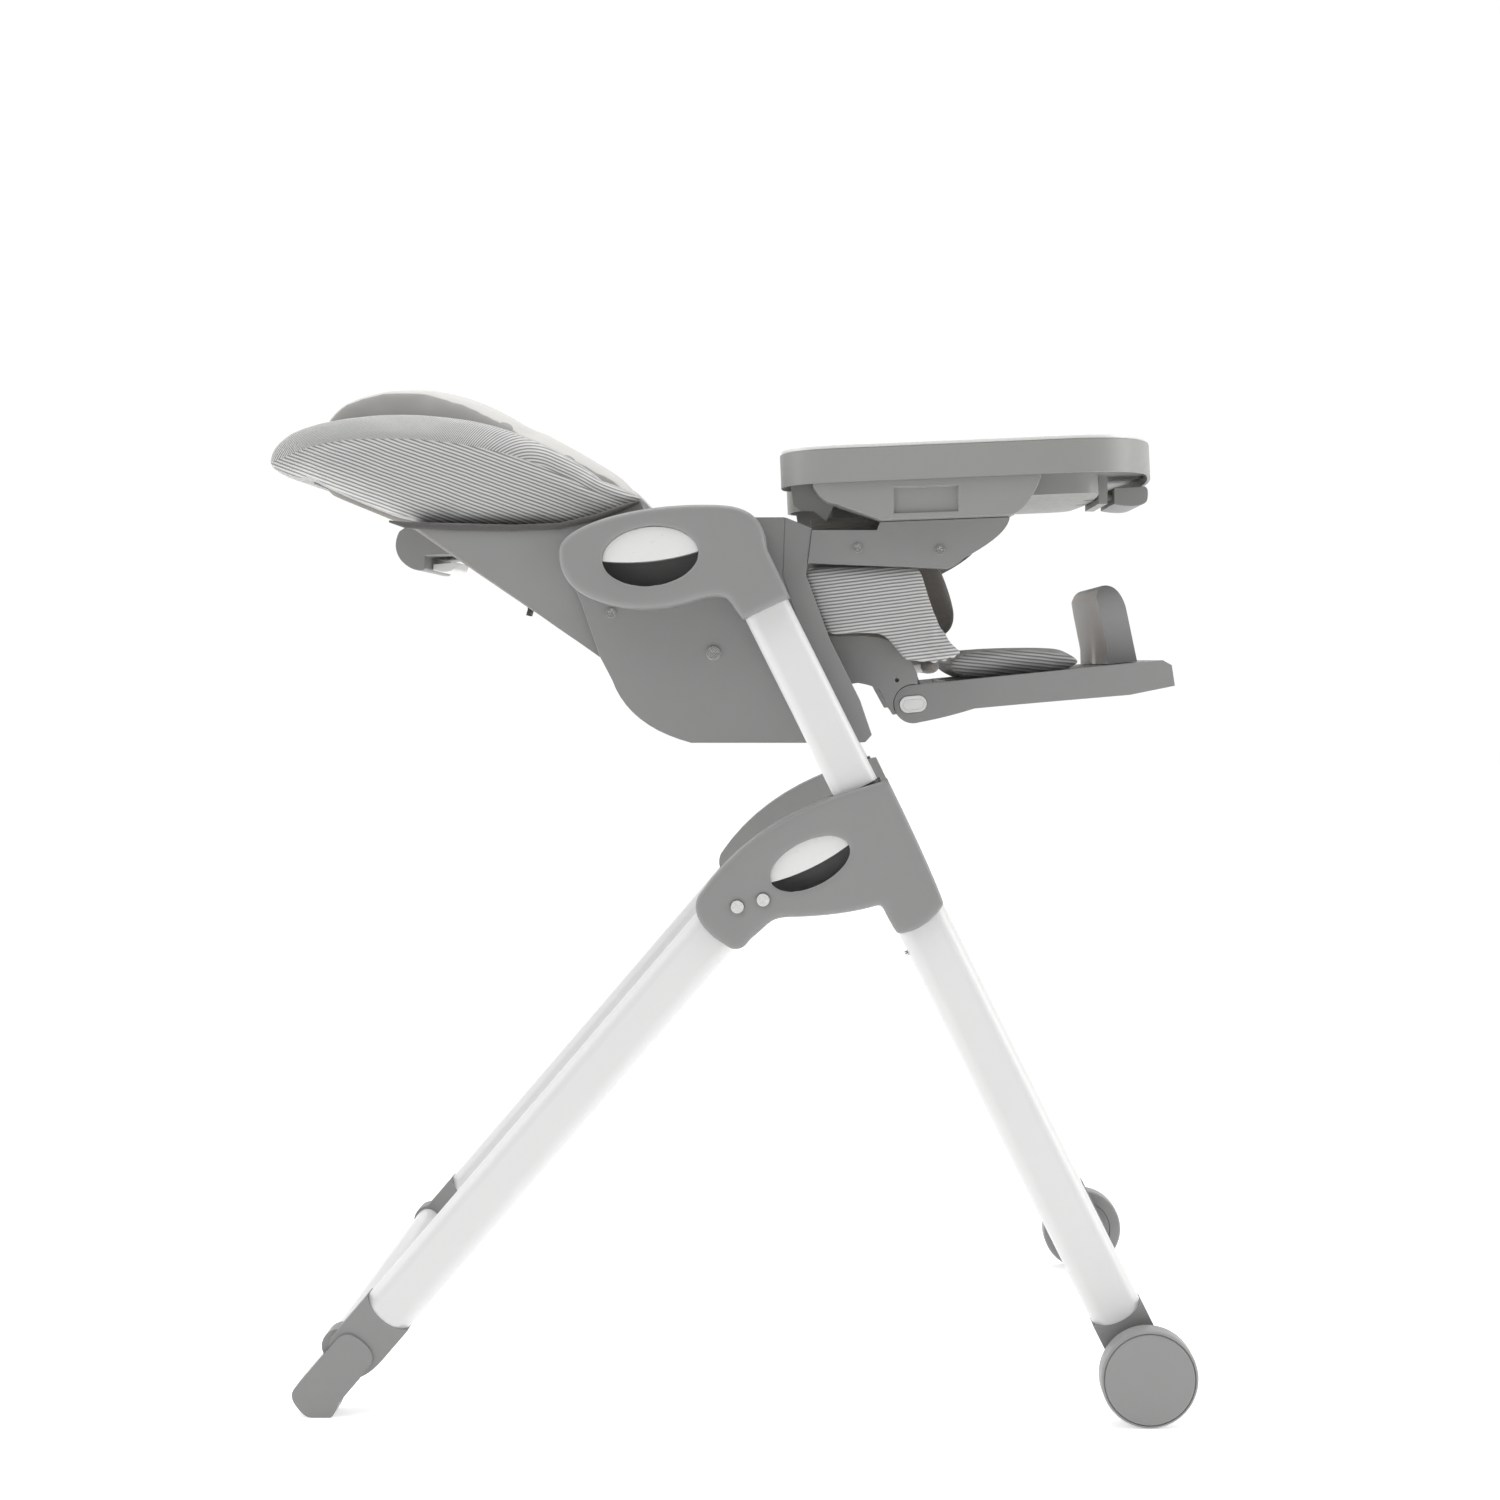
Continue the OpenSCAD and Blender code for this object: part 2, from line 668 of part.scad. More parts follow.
// ---- Calf rest and footrest ----
calf_top = 18.6;
calf_low = -10;
slot_half = 12;
button_l = 26;
button_h = 16;
module calf_panel() {
    rail = [
        [[-4, calf_top - 0.3]], [[calf_len - 8, calf_top]], [[calf_len, 13]],
        [[calf_len + 1, calf_low + 3]], [[208, calf_low - 1.5], [100, calf_low]],
        [[58, calf_low], [30, calf_low - 6]], [[4, -18]]
    ];
    color(plastic) calf_frame() difference() {
        union() {
            both() {
                slab(rail_in, rail_out) polygon(outline(rail));
                rod([0, 0], 18.5, rail_in, rail_out);
            }
            slab(-rail_in - 1, rail_in + 1)
                polygon([[36, 14.6], [36, 18.6], [calf_len - 8, 18.6], [calf_len, 13],
                    [calf_len + 1, calf_low + 3], [calf_len - 4, calf_low + 3], [calf_len - 5, 12], [calf_len - 12, 14.6]]);
        }
        both() {
            rod([0, 0], leg_pin_r + 0.35, rail_in - 5, rail_in + 4);
            translate([0, rail_out + 1, 0]) rotate([90, 0, 0])
                linear_extrude(8.5) oval(button_l + 0.8, button_h + 0.8);
        }
        translate([165, -slot_half, 10]) cube([68, 2 * slot_half, 12]);
    }
}
module calf_button(side) {
    color(white) sided(side) calf_frame() translate([0, rail_out + 1.4, 0]) rotate([90, 0, 0])
        difference() {
            linear_extrude(5.4) oval(button_l, button_h);
            translate([0, 0, -0.1]) linear_extrude(0.7) difference() {
                oval(button_l - 5, button_h - 5);
                oval(button_l - 7, button_h - 7);
            }
        }
}
module calf_pad() {
    path = [
        [[44, calf_top + 0.6]], [[158, calf_top + 0.6], [165, 22]], [[164, 28], [160, 38]],
        [[130, 42], [95, 46]], [[60, 46], [42, 45]], [[41, 32]]
    ];
    color(fabric) calf_frame() slab(-150, 150) polygon(outline(path));
}
// Footrest plate with a stem through the panel's slot and a clip under it
module footrest() {
    plate_path = [
        [[196, calf_top + 0.6]], [[225, calf_top + 0.6]], [[219, 75], [214, 99]],
        [[201, 97], [195, 96]], [[192, 86]], [[197, 35]]
    ];
    corner = 34;
    half = 120;
    front_view = [
        [[-half, 10]], [[half, 10]], [[half, 98 - corner], [half, 98]], [[half - corner, 98], [0, 101]],
        [[corner - half, 98], [-half, 98]], [[-half, 98 - corner]]
    ];
    color(lining) calf_frame() {
        intersection() {
            slab(-half, half) polygon(outline(plate_path));
            translate([150, 0, 0]) rotate([90, 0, 90]) linear_extrude(100) polygon(outline(front_view));
        }
        translate([202, -10, 8]) cube([16, 20, calf_top - 7]);
        translate([195, -22, 4]) cube([30, 44, 6]);
    }
}

// ---- Tray ----
// Plan of the tray, d inside its edge
function tray_edge(d) = [
    [[62 + d, 0], [58 + d, 122 + d]], [[8 + d, 150 + d], [d, 156 + d]], [[d, 188], [d, tray_half - d]],
    [[58, tray_half - d]], [[270, tray_half - d], [345 - d, tray_half - d]],
    [[357 - d, 150], [369 - d, 80]], [[370 - d, 0]]
];
function half_outline(path) =
    [for (i = [0 : len(path) - 2]) each stretch(path[i], path[i + 1][0], 8)];
module tray_plan(d) {
    path = tray_edge(d);
    half = concat(half_outline(path), [path[len(path) - 1][0]]);
    other = [for (i = [len(half) - 2 : -1 : 1]) [half[i][0], -half[i][1]]];
    polygon(concat(half, other));
}
module well(d) {
    polygon(outline([
        [[110, -150 + d]], [[285, -150 + d], [310 - d, -150 + d]], [[310 - d, -120], [322 - d, 0]],
        [[310 - d, 120], [310 - d, 150 - d]], [[285, 150 - d]], [[110, 150 - d], [88 + d, 140]],
        [[88 + d, 90]], [[88 + d, -90], [88 + d, -140]]
    ]));
}
rim_h = 31;
floor_z = 12;
ear_in = 190;
ear_out = 240;
// Skirts under the tray's sides that ride on the armrests, hooked to the tray's underside
module tray_skirts() {
    ear = [
        [[84, 873]], [[84, 863], [92, 846]], [[105, 845]], [[arm_top_x, arm_top_z + 0.6]],
        [[269, arm_front_z + 0.6], [285, arm_front_z + 4]], [[297, 870]], [[297, 882]]
    ];
    label_recess = [[160, 836], [220, 838], [220, 862], [160, 860]];
    color(plastic) both() difference() {
        intersection() {
            slab(ear_in, ear_out) polygon(outline(ear));
            tray_frame() translate([0, 0, -60]) linear_extrude(100) tray_plan(wall + 0.3);
        }
        slab(ear_in - 1, ear_out - 8) offset(delta = -wall) polygon(outline(ear));
        slab(ear_out - 4, ear_out + 1) polygon(label_recess);
        tray_frame() translate([0, 0, floor_z - wall - 0.1]) cube([400, 300, 30]);
    }
}
module tray_body() {
    rib = [[62, 874], [66, 847], [72, 842], [86, 841], [97, 832], [104, 846], [104, 875]];
    color(plastic) difference() {
        union() {
            tray_frame() difference() {
                linear_extrude(rim_h) tray_plan(0);
                translate([0, 0, -1]) linear_extrude(floor_z - 2) tray_plan(wall);
            }
            tray_frame() translate([0, 0, -13]) linear_extrude(floor_z + 12) well(0);
            both() slab(184, 188) polygon(rib);
            translate([372, -60, 857]) cube([9, 120, 28]);
        }
        tray_frame() translate([0, 0, floor_z]) linear_extrude(rim_h) tray_plan(16);
        tray_frame() translate([0, 0, -10.5]) linear_extrude(rim_h) well(3);
        both() translate([360, 35, 866]) rotate([0, 90, 0]) cylinder(r = 4.5, h = 30);
    }
}
module tray_insert() {
    color(white) tray_frame() difference() {
        union() {
            translate([0, 0, rim_h + 0.2]) linear_extrude(3.8) tray_plan(1.5);
            translate([0, 0, floor_z + 0.2]) linear_extrude(rim_h - floor_z + 0.1) tray_plan(16.6);
        }
        translate([0, 0, floor_z + 2.6]) linear_extrude(rim_h) tray_plan(19);
    }
}
module tray_release() {
    path = [
        [[388, 857]], [[388, 873.5]], [[419, 875], [424, 874]], [[422, 862], [421, 856]],
        [[408, 855], [398, 855]]
    ];
    color(plastic) {
        slab(-56, 56) polygon(outline(path));
        both() translate([377, 35, 866]) rotate([0, 90, 0]) cylinder(r = 4, h = 12);
    }
}

lower_tube(1);  // lower_tube_left
lower_tube(-1);  // lower_tube_right
hinge_housing_outer(1);  // hinge_housing_outer_left
hinge_housing_outer(-1);  // hinge_housing_outer_right
hinge_housing_inners();
tube_bushes();
wheel_brackets();
wheel_axles();
front_crossbar();
leg_rivets();
wheel_tyre(1);  // wheel_tyre_left
wheel_tyre(-1);  // wheel_tyre_right
wheel_disc(1);  // wheel_disc_left
wheel_disc(-1);  // wheel_disc_right
rear_tube(1);  // rear_tube_left
rear_tube(-1);  // rear_tube_right
rear_knuckles();
rear_caps();
rear_feet();
rear_crossbar();
fold_lever(1);  // fold_lever_left
fold_lever(-1);  // fold_lever_right
height_lever(1);  // height_lever_left
height_lever(-1);  // height_lever_right
upper_tube(1);  // upper_tube_left
upper_tube(-1);  // upper_tube_right
tube_lock_plugs();
top_housing_outer(1);  // top_housing_outer_left
top_housing_outer(-1);  // top_housing_outer_right
top_housing_inners();
seat_side(1);  // seat_side_left
seat_side(-1);  // seat_side_right
seat_pan();
front_trims();
armrests();
calf_brackets();
seat_screws();
back_pivot_pins();
seat_pad();
side_wing(1);  // side_wing_left
side_wing(-1);  // side_wing_right
crotch_post();
lap_harness();
buckle();
back_shell();
back_pad();
back_bolster();
support_cushion();
recline_handle();
shoulder_straps();
recline_lever();
calf_panel();
calf_pad();
calf_button(1);  // calf_button_left
calf_button(-1);  // calf_button_right
footrest();
tray_body();
tray_skirts();
tray_insert();
tray_release();
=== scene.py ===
"""Looks of the baby high chair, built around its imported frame.

Everything is in metres in the frame's own axes: +X is the way the child faces, +Y is the
child's left and +Z is up. The floor is Z = 0.
"""

import json
import math

import bmesh
import bpy
import numpy as np
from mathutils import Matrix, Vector

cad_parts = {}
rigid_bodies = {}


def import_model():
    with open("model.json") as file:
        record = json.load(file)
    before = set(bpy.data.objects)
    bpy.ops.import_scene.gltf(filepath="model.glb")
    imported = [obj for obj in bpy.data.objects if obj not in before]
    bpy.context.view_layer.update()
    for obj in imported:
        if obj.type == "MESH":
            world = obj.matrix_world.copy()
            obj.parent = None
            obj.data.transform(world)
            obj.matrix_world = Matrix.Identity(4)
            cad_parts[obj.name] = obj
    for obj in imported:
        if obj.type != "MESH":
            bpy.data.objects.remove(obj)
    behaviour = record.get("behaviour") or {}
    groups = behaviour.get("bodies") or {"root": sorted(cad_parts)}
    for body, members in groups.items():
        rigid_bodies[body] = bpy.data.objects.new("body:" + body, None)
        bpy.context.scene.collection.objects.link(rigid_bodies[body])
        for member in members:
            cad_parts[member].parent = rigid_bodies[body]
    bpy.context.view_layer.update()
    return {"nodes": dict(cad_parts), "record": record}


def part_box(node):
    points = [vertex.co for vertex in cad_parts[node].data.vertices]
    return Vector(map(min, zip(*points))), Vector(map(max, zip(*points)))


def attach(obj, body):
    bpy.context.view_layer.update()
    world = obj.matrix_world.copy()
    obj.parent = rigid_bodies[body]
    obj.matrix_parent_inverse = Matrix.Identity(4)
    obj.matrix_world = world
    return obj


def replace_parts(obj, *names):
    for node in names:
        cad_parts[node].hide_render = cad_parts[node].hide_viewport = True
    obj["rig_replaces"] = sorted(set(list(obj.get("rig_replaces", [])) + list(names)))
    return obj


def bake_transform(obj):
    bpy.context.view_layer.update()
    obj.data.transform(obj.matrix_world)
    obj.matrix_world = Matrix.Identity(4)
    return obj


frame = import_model()
nodes = frame["nodes"]
scene = bpy.context.scene

# ---- Camera and lights ----
camera_data = bpy.data.cameras.new("camera")
camera_data.sensor_width = 36.0
camera_data.lens = 54.91
camera_data.shift_x = -0.05
camera_data.shift_y = -0.06
camera = bpy.data.objects.new("camera", camera_data)
camera.location = (0.096, -2.368, 0.6995)
camera.rotation_euler = (math.radians(90), 0, 0)
scene.collection.objects.link(camera)
scene.camera = camera
scene.view_settings.view_transform = "Standard"


def area_light(name, place, aim, size, power):
    """A square soft box at place that points at aim."""
    data = bpy.data.lights.new(name, "AREA")
    data.size = size
    data.energy = power
    light = bpy.data.objects.new(name, data)
    light.location = place
    light.rotation_euler = (Vector(aim) - Vector(place)).to_track_quat("-Z", "Y").to_euler()
    scene.collection.objects.link(light)


CHAIR_MIDDLE = (0, 0, 0.6)
area_light("key_light", (-1.6, -1.6, 2.8), CHAIR_MIDDLE, 1.6, 16)
area_light("right_light", (2.8, -0.5, 1.3), CHAIR_MIDDLE, 1.6, 26)
area_light("left_light", (-2.8, -0.5, 1.5), CHAIR_MIDDLE, 1.6, 14)
area_light("top_light", (0, 0, 3.2), CHAIR_MIDDLE, 2.4, 44)

world = bpy.data.worlds.new("studio")
world.use_nodes = True
world_nodes, world_links = world.node_tree.nodes, world.node_tree.links
# A white backdrop beyond the chair and a dimmer room on the other side: brightness goes from
# DIM to BRIGHT as a direction's Y goes from NEAR_Y to FAR_Y
NEAR_Y, FAR_Y = -0.7, 0.1
DIM, BRIGHT = 0.3, 1.02
directions = world_nodes.new("ShaderNodeTexCoord")
parts = world_nodes.new("ShaderNodeSeparateXYZ")
fade = world_nodes.new("ShaderNodeMapRange")
world_links.new(directions.outputs["Generated"], parts.inputs[0])
world_links.new(parts.outputs["Y"], fade.inputs["Value"])
for socket, value in zip(fade.inputs[1:5], (NEAR_Y, FAR_Y, DIM, BRIGHT)):
    socket.default_value = value
world_links.new(fade.outputs["Result"], world_nodes["Background"].inputs["Color"])
scene.world = world


# ---- Materials ----
class Shader:
    """A material's node tree, with short calls for the nodes that the finishes share."""

    def __init__(self, name, color, roughness, **inputs):
        self.material = bpy.data.materials.new(name)
        self.material.use_nodes = True
        self.nodes = self.material.node_tree.nodes
        self.nodes.clear()
        output = self.add("ShaderNodeOutputMaterial")
        self.bsdf = self.add("ShaderNodeBsdfPrincipled")
        self.link(self.bsdf.outputs["BSDF"], output.inputs["Surface"])
        self.bsdf.inputs["Base Color"].default_value = (*color, 1)
        self.bsdf.inputs["Roughness"].default_value = roughness
        for socket, value in inputs.items():
            self.bsdf.inputs[socket.replace("_", " ")].default_value = value
        places = self.add("ShaderNodeTexCoord")
        self.place = places.outputs["Object"]
        self.facing = places.outputs["Normal"]
        self.last_bump = None

    def add(self, kind, **settings):
        node = self.nodes.new(kind)
        for name, value in settings.items():
            setattr(node, name, value)
        return node

    def link(self, source, target):
        if isinstance(source, (int, float)):
            target.default_value = source
        else:
            self.material.node_tree.links.new(source, target)

    def math(self, operation, *values):
        node = self.add("ShaderNodeMath", operation=operation)
        for value, socket in zip(values, node.inputs):
            self.link(value, socket)
        return node.outputs[0]

    def axes(self, source=None):
        node = self.add("ShaderNodeSeparateXYZ")
        self.link(source or self.place, node.inputs[0])
        return node.outputs

    def noise(self, scale, detail=2.0, stretch=(1, 1, 1)):
        """Noise from 0 to 1, scale to the metre."""
        mapping = self.add("ShaderNodeMapping")
        self.link(self.place, mapping.inputs["Vector"])
        mapping.inputs["Scale"].default_value = stretch
        node = self.add("ShaderNodeTexNoise")
        self.link(mapping.outputs[0], node.inputs["Vector"])
        node.inputs["Scale"].default_value = scale
        node.inputs["Detail"].default_value = detail
        return node.outputs["Fac"]

    def spread(self, value, low, high, to_low=0.0, to_high=1.0):
        """Maps low..high to to_low..to_high, with smooth ends."""
        node = self.add("ShaderNodeMapRange", interpolation_type="SMOOTHSTEP")
        for number, socket in zip((value, low, high, to_low, to_high), node.inputs):
            self.link(number, socket)
        return node.outputs["Result"]

    def mix(self, share, first, second):
        """Mixes two colours, each a socket or three numbers."""
        node = self.add("ShaderNodeMix", data_type="RGBA")
        self.link(share, node.inputs["Factor"])
        for color, socket in ((first, node.inputs["A"]), (second, node.inputs["B"])):
            if isinstance(color, tuple):
                socket.default_value = (*color, 1)
            else:
                self.link(color, socket)
        return node.outputs["Result"]

    def paint(self, color):
        self.link(color, self.bsdf.inputs["Base Color"])

    def roughen(self, value, low, high):
        self.link(self.spread(value, 0.3, 0.7, low, high), self.bsdf.inputs["Roughness"])

    def bump(self, height, depth):
        """Raises the surface by up to depth metres where height is 1. Bumps add up."""
        node = self.add("ShaderNodeBump")
        self.link(height, node.inputs["Height"])
        node.inputs["Distance"].default_value = depth
        if self.last_bump:
            self.link(self.last_bump, node.inputs["Normal"])
        self.last_bump = node.outputs["Normal"]
        self.link(self.last_bump, self.bsdf.inputs["Normal"])


def shade(color, factor):
    return tuple(channel * factor for channel in color)


def plastic(name, color, roughness=0.5, grain=0.00006, **inputs):
    """Moulded plastic: a fine spark-eroded grain, slight flow marks and uneven gloss."""
    shader = Shader(name, color, roughness, **inputs)
    flow = shader.noise(9, 3, (1, 1, 0.5))
    shader.paint(shader.mix(flow, shade(color, 0.95), shade(color, 1.05)))
    shader.roughen(shader.noise(160, 3), roughness - 0.05, roughness + 0.06)
    shader.bump(shader.noise(1400, 2), grain)
    return shader


def powder_coat():
    """White powder coat on steel tube: a faint orange peel over a satin gloss."""
    color = (0.7, 0.7, 0.695)
    shader = Shader("powder_coat", color, 0.34, Coat_Weight=0.25, Coat_Roughness=0.2)
    shader.paint(shader.mix(shader.noise(12, 3), shade(color, 0.985), shade(color, 1.015)))
    shader.roughen(shader.noise(220, 2), 0.3, 0.4)
    shader.bump(shader.noise(420, 2), 0.00005)
    return shader


def plated_steel():
    """Zinc-plated steel, turned: fine rings and slightly uneven gloss."""
    color = (0.62, 0.62, 0.61)
    shader = Shader("plated_steel", color, 0.18, Metallic=1.0)
    shader.paint(shader.mix(shader.noise(300, 3), shade(color, 0.85), shade(color, 1.1)))
    shader.roughen(shader.noise(900, 2, (1, 0.1, 1)), 0.1, 0.2)
    shader.bump(shader.noise(2500, 2, (1, 0.1, 1)), 0.00002)
    return shader


THREAD = 0.0009
WEAVE_DEPTH = 0.00012


def weave(shader, depth=WEAVE_DEPTH, thread=THREAD):
    """Over-and-under threads of a plain weave, as bump, from where the surface lies."""
    x, y, z = shader.axes()
    turn = math.pi / thread
    warp = shader.math("SINE", shader.math("MULTIPLY", shader.math("ADD", x, y), turn))
    weft = shader.math("SINE", shader.math("MULTIPLY", shader.math("ADD", z, y), turn))
    height = shader.math("MULTIPLY", warp, weft)
    shader.bump(shader.math("ABSOLUTE", height), depth)


STRIPE = 0.0032
STRIPE_LIGHT = (0.57, 0.57, 0.56)
STRIPE_DARK = (0.21, 0.21, 0.208)
# How far the stripes wander, in metres
STRIPE_WOBBLE = 0.0016


def stripe_shader(name):
    return Shader(name, STRIPE_LIGHT, 0.9, Sheen_Weight=0.25, Sheen_Roughness=0.5)


def stripes(shader, across):
    """Colour of fine stripes. across is the distance across them, in metres."""
    centred = shader.math("SUBTRACT", shader.noise(26, 2), 0.5)
    wobble = shader.math("MULTIPLY", centred, STRIPE_WOBBLE)
    turn = shader.math("MULTIPLY", shader.math("ADD", across, wobble), 2 * math.pi / STRIPE)
    wave = shader.math("SINE", turn)
    shader.bump(wave, WEAVE_DEPTH)
    return shader.mix(shader.spread(wave, -0.45, 0.75), STRIPE_LIGHT, STRIPE_DARK)


def across_slope(shader, degrees):
    """Distance across lines that fall by degrees towards +X."""
    x, _, z = shader.axes()
    slope = math.radians(degrees)
    return shader.math(
        "ADD",
        shader.math("MULTIPLY", x, math.sin(slope)),
        shader.math("MULTIPLY", z, math.cos(slope)),
    )


def either(shader, choice, first, second):
    """first where choice is 0, and second where it is 1."""
    node = shader.add("ShaderNodeMix", data_type="FLOAT")
    for value, socket in ((choice, "Factor"), (first, "A"), (second, "B")):
        shader.link(value, node.inputs[socket])
    return node.outputs["Result"]


def lengthwise(shader, across):
    """across on the sides, and distance across the chair on top, underneath and at the ends."""
    _, width, _ = shader.axes()
    _, facing_side, _ = shader.axes(shader.facing)
    sideways = shader.math("ABSOLUTE", facing_side)
    return either(shader, shader.math("GREATER_THAN", sideways, 0.3), width, across)


def striped_cloth(name, degrees):
    shader = stripe_shader(name)
    shader.paint(stripes(shader, lengthwise(shader, across_slope(shader, degrees))))
    weave(shader)
    return shader


LINING = (0.2, 0.185, 0.17)
# Slope of the stripes on the seat cover, in degrees
SEAT_STRIPES = -7


def wing_cloth():
    """Striped cloth outside, with plain lining at the top and on the child's side."""
    shader = stripe_shader("wing_cloth")
    _, y, z = shader.axes()
    top = shader.spread(z, 0.7865, 0.788)
    inside = shader.spread(shader.math("ABSOLUTE", y), 0.1835, 0.1845, 1, 0)
    striped = stripes(shader, across_slope(shader, SEAT_STRIPES))
    shader.paint(shader.mix(shader.math("MAXIMUM", top, inside), striped, LINING))
    weave(shader)
    return shader


# Seam of the bolster: place along the chair and height, in metres
SEAM = [(-0.436, 0.884), (-0.42, 0.891), (-0.37, 0.906), (-0.32, 0.909), (-0.265, 0.906),
        (-0.2, 0.893), (-0.15, 0.873), (-0.1, 0.85), (-0.07, 0.843)]


def seam_height(x):
    return np.interp(x, [p[0] for p in SEAM], [p[1] for p in SEAM])


def bolster_cloth():
    """Striped cloth whose stripes change direction at the seam along the bolster."""
    shader = stripe_shader("bolster_cloth")
    x, _, z = shader.axes()
    left, right = SEAM[0][0], SEAM[-1][0]
    low, high = 0.82, 0.92
    curve = shader.add("ShaderNodeFloatCurve")
    points = curve.mapping.curves[0].points
    shares = [((sx - left) / (right - left), (sz - low) / (high - low)) for sx, sz in SEAM]
    points[0].location = shares[0]
    points[1].location = shares[-1]
    for share in shares[1:-1]:
        points.new(*share)
    curve.mapping.update()
    along = shader.math("DIVIDE", shader.math("SUBTRACT", x, left), right - left)
    shader.link(along, curve.inputs["Value"])
    seam = shader.math("ADD", shader.math("MULTIPLY", curve.outputs[0], high - low), low)
    above = shader.math("SUBTRACT", z, seam)
    rise = shader.spread(along, 0.05, 0.75, 1.1, 0.0)
    upper = shader.math("SUBTRACT", above, shader.math("MULTIPLY", rise, x))
    lower = across_slope(shader, 20)
    on_side = either(shader, shader.math("GREATER_THAN", above, 0.0), lower, upper)
    shader.paint(stripes(shader, lengthwise(shader, on_side)))
    weave(shader)
    return shader


def plain_cloth(name, color, depth=WEAVE_DEPTH):
    """Plain woven cloth with slightly uneven dye."""
    shader = Shader(name, color, 0.92, Sheen_Weight=0.3, Sheen_Roughness=0.5)
    patches = shader.mix(shader.noise(14, 3), shade(color, 0.9), shade(color, 1.1))
    threads = shader.noise(900, 2)
    shader.paint(shader.mix(shader.spread(threads, 0.3, 0.7), patches, shade(color, 0.82)))
    weave(shader, depth)
    return shader


LINER = (0.56, 0.55, 0.53)
LINER_SIDE = (0.3, 0.295, 0.285)
DOTS = 26.0


def liner_cloth():
    """Soft cushion cloth: a light top printed with small plain dots, and plain darker sides."""
    shader = Shader("liner_cloth", LINER, 0.92, Sheen_Weight=0.3, Sheen_Roughness=0.5)
    dots = shader.add("ShaderNodeTexVoronoi", feature="F1")
    shader.link(shader.place, dots.inputs["Vector"])
    dots.inputs["Scale"].default_value = DOTS
    dots.inputs["Randomness"].default_value = 0.55
    near = shader.math("LESS_THAN", dots.outputs["Distance"], 0.19)
    pick = shader.axes(dots.outputs["Color"])
    warm = shader.math("GREATER_THAN", pick[0], 0.78)
    ink = shader.mix(warm, (0.3, 0.31, 0.31), (0.66, 0.33, 0.12))
    printed = shader.mix(near, LINER, ink)
    _, across, _ = shader.axes(shader.facing)
    side = shader.spread(shader.math("ABSOLUTE", across), 0.62, 0.72)
    shader.paint(shader.mix(side, printed, LINER_SIDE))
    weave(shader, 0.00009)
    return shader


def webbing_cloth():
    """Woven harness webbing with ribs across it."""
    color = (0.055, 0.056, 0.058)
    shader = Shader("webbing_cloth", color, 0.75)
    ribs = shader.noise(500, 1, (1, 0.25, 1))
    shader.paint(shader.mix(ribs, shade(color, 0.7), shade(color, 1.5)))
    weave(shader, 0.0002, 0.0016)
    return shader


def footrest_finish():
    """Grey moulding whose child-facing face is a warm light grey."""
    grey, warm = (0.32, 0.322, 0.32), (0.56, 0.52, 0.49)
    shader = plastic("footrest_finish", grey, 0.5)
    toward, _, _ = shader.axes(shader.facing)
    face = shader.spread(toward, -0.95, -0.75, 1, 0)
    shader.paint(shader.mix(face, grey, warm))
    return shader


# Grain of glossy mouldings, in metres
GLOSS = 0.000004
finishes = {
    "tube_white": powder_coat(),
    "housing_grey": plastic("housing_plastic", (0.25, 0.251, 0.247), 0.46),
    "wheel_grey": plastic("wheel_plastic", (0.275, 0.276, 0.272), 0.42),
    "dark_plastic": plastic("dark_plastic", (0.03, 0.03, 0.031), 0.4),
    "steel": plated_steel(),
    "lever_white": plastic("lever_plastic", (0.74, 0.74, 0.725), 0.32, GLOSS, Coat_Weight=0.2),
    "tray_grey": plastic("tray_plastic", (0.275, 0.278, 0.265), 0.42),
    "insert_white": plastic("insert_plastic", (0.74, 0.74, 0.73), 0.3, GLOSS, Coat_Weight=0.2),
    "footrest_beige": footrest_finish(),
    "pad_fabric": plain_cloth("pad_cloth", LINING),
    "webbing": webbing_cloth(),
}
slots = {part["node"]: part["material_slot"] for part in frame["record"]["subparts"]}


def give(piece, shader):
    piece.data.materials.clear()
    piece.data.materials.append(shader.material)


# ---- Modifiers ----
# Points closer than this are one point, in metres
SAME_POINT = 0.00001


def weld(piece):
    """Joins the points that neighbouring faces share."""
    piece.modifiers.new("weld", "WELD").merge_threshold = SAME_POINT


def smooth(piece, iterations):
    modifier = piece.modifiers.new("smoothing", "SMOOTH")
    modifier.factor = 0.5
    modifier.iterations = iterations


def remesh(piece, voxel):
    """Rebuilds a closed piece with even faces, voxel metres wide."""
    modifier = piece.modifiers.new("remesh", "REMESH")
    modifier.mode = "VOXEL"
    modifier.voxel_size = voxel


def soften(node, width):
    """Rounds a rigid part's edges."""
    piece = nodes[node]
    weld(piece)
    flat = piece.modifiers.new("flat", "DECIMATE")
    flat.decimate_type = "DISSOLVE"
    flat.angle_limit = math.radians(0.6)
    bevel = piece.modifiers.new("edge", "BEVEL")
    bevel.width = width
    bevel.segments = 2
    bevel.limit_method = "ANGLE"
    bevel.angle_limit = math.radians(32)
    normals = piece.modifiers.new("normals", "WEIGHTED_NORMAL")
    normals.weight = 60


